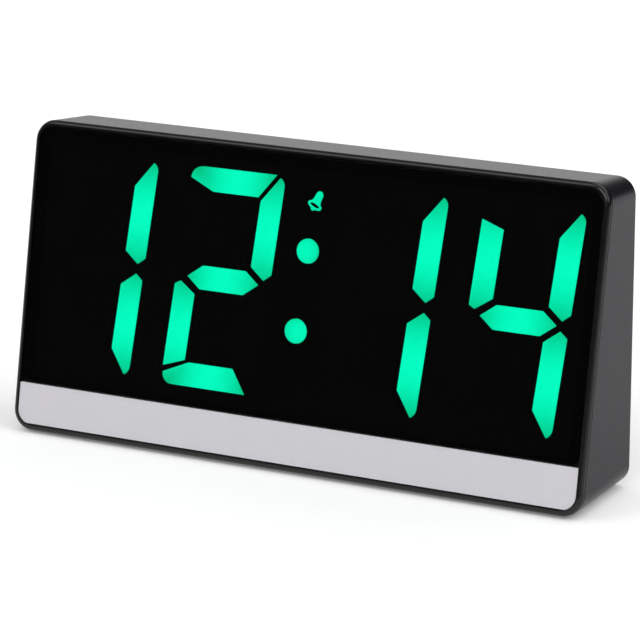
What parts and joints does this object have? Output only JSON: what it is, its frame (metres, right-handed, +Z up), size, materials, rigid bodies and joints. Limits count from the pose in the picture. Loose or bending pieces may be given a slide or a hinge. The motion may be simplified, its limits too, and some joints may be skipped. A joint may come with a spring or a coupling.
{
  "type": "digital led desk clock",
  "caption": "Wedge-shaped digital desk clock with large green lit digits, a silver foot strip, rear push buttons, an alarm switch, a dimmer wheel and a backup-cell door.",
  "frame": {"origin": "on the desk, under the middle of the clock's overall box", "axes": "+X to the right as seen from the front, +Y to the back, +Z up"},
  "size_m": [0.2196, 0.046, 0.1088],
  "materials": {
    "bezel_gloss_black": "gloss",
    "smoked_acrylic": "clear, smoked",
    "satin_silver": "satin",
    "housing_black": "matte",
    "lit_green": "translucent, lit",
    "dark_segment": "translucent, unlit",
    "board_green": "solder mask",
    "led_chip": "satin",
    "chip_black": "matte",
    "steel_can": "satin",
    "capacitor_can": "satin",
    "header_plastic": "matte",
    "ribbon_grey": "matte",
    "switch_black": "matte",
    "plunger_white": "matte",
    "button_grey": "satin",
    "dimmer_body": "matte",
    "shaft_steel": "satin",
    "wheel_black": "satin",
    "shell_satin_black": "satin",
    "contact_nickel": "bright",
    "foot_rubber": "matte",
    "screw_steel": "satin"
  },
  "bodies": {
    "clock_case": {"alarm_bell_icon": "lit_green", "alarm_switch_body": "switch_black", "battery_contact_negative": "contact_nickel", "battery_contact_positive": "contact_nickel", "board_screws": "screw_steel", "buzzer": "switch_black", "case_screws": "screw_steel", "coin_cell": "steel_can", "colon_dots": "lit_green", "control_chip": "chip_black", "dimmer_pot": "dimmer_body", "display_driver": "chip_black", "filter_capacitors": "capacitor_can", "front_bezel": "bezel_gloss_black", "front_lens": "smoked_acrylic", "hour_ones_dark_segments": "dark_segment", "hour_ones_lit_segments": "lit_green", "hour_tens_dark_segments": "dark_segment", "hour_tens_lit_segments": "lit_green", "led_board": "board_green", "led_chips": "led_chip", "main_board": "board_green", "minute_ones_dark_segments": "dark_segment", "minute_ones_lit_segments": "lit_green", "minute_tens_dark_segments": "dark_segment", "minute_tens_lit_segments": "lit_green", "quartz_crystal": "steel_can", "rear_shell": "shell_satin_black", "ribbon_cable": "ribbon_grey", "ribbon_headers": "header_plastic", "rubber_feet": "foot_rubber", "segment_housing": "housing_black", "tact_switches": "switch_black", "trim_strip": "satin_silver", "usb_inlet_shell": "steel_can", "usb_inlet_tongue": "switch_black"},
    "set_press": {"set_button": "button_grey", "set_plunger": "plunger_white"},
    "alarm_press": {"alarm_button": "button_grey", "alarm_plunger": "plunger_white"},
    "plus_press": {"plus_button": "button_grey", "plus_plunger": "plunger_white"},
    "minus_press": {"minus_button": "button_grey", "minus_plunger": "plunger_white"},
    "snooze_press": {"snooze_button": "button_grey", "snooze_plunger": "plunger_white"},
    "alarm_slider": {"alarm_switch_knob": "button_grey"},
    "dimmer_turner": {"dimmer_wheel": "wheel_black", "dimmer_shaft": "shaft_steel"},
    "cell_door": {"battery_door": "shell_satin_black"}
  },
  "joints": [
    {"name": "set_button_press", "type": "slide", "parent": "clock_case", "child": "set_press", "axis": [0, -1, 0], "range_m": [0, 0.0008], "stiffness_N_per_m": 800},
    {"name": "alarm_button_press", "type": "slide", "parent": "clock_case", "child": "alarm_press", "axis": [0, -1, 0], "range_m": [0, 0.0008], "stiffness_N_per_m": 800},
    {"name": "plus_button_press", "type": "slide", "parent": "clock_case", "child": "plus_press", "axis": [0, -1, 0], "range_m": [0, 0.0008], "stiffness_N_per_m": 800},
    {"name": "minus_button_press", "type": "slide", "parent": "clock_case", "child": "minus_press", "axis": [0, -1, 0], "range_m": [0, 0.0008], "stiffness_N_per_m": 800},
    {"name": "snooze_button_press", "type": "slide", "parent": "clock_case", "child": "snooze_press", "axis": [0, -1, 0], "range_m": [0, 0.0008], "stiffness_N_per_m": 800},
    {"name": "alarm_switch_slide", "type": "slide", "parent": "clock_case", "child": "alarm_slider", "axis": [1, 0, 0], "range_m": [0, 0.004]},
    {"name": "dimmer_turn", "type": "hinge", "parent": "clock_case", "child": "dimmer_turner", "pos_m": [-0.044, 0.01503, 0.0462], "axis": [0, 0, 1], "range_deg": [-270, 0]},
    {"name": "battery_door_hinge", "type": "hinge", "parent": "clock_case", "child": "cell_door", "pos_m": [0, 0.01973, 0.0254], "axis": [-1, 0, 0], "range_deg": [0, 80]}
  ]
}
